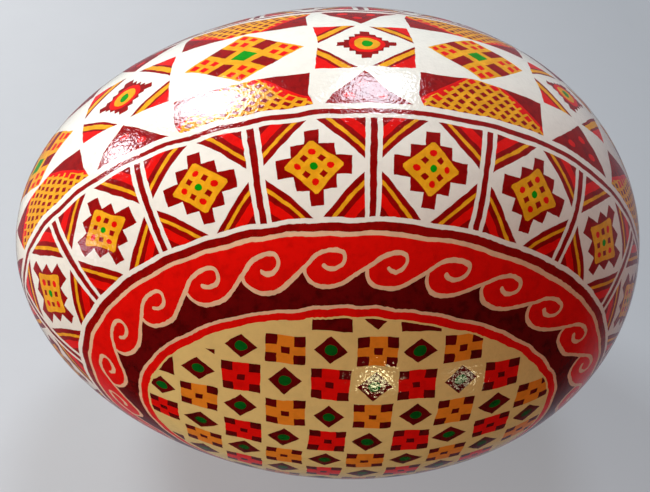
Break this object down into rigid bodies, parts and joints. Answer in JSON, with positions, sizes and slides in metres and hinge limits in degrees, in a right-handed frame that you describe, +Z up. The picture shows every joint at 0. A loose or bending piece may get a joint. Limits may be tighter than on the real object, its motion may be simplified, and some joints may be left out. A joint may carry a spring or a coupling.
{
  "type": "decorated egg",
  "caption": "Pysanka: hollow hen's egg wax-resist dyed in bands of stars, diamonds, scrolls and a checkered oval, gloss varnished, its blow hole sealed with wax.",
  "frame": {"origin": "on the surface that the egg lies on, under the middle of its length", "axes": "+X along the egg towards its blunt end, +Z up, -Y and +Y towards the two checkered ovals"},
  "size_m": [0.0576, 0.0436, 0.0436],
  "materials": {
    "varnish": "clear high gloss over the dyed shell",
    "dyed_shell": "fine-grained eggshell, dyed white, yellow-orange, red, green and dark maroon",
    "membrane": "dry matt film",
    "wax": "smooth dark beeswax"
  },
  "bodies": {
    "root": {"varnish_coat": "varnish", "eggshell": "dyed_shell", "outer_membrane": "membrane", "inner_membrane": "membrane", "wax_bead": "wax"}
  },
  "joints": []
}
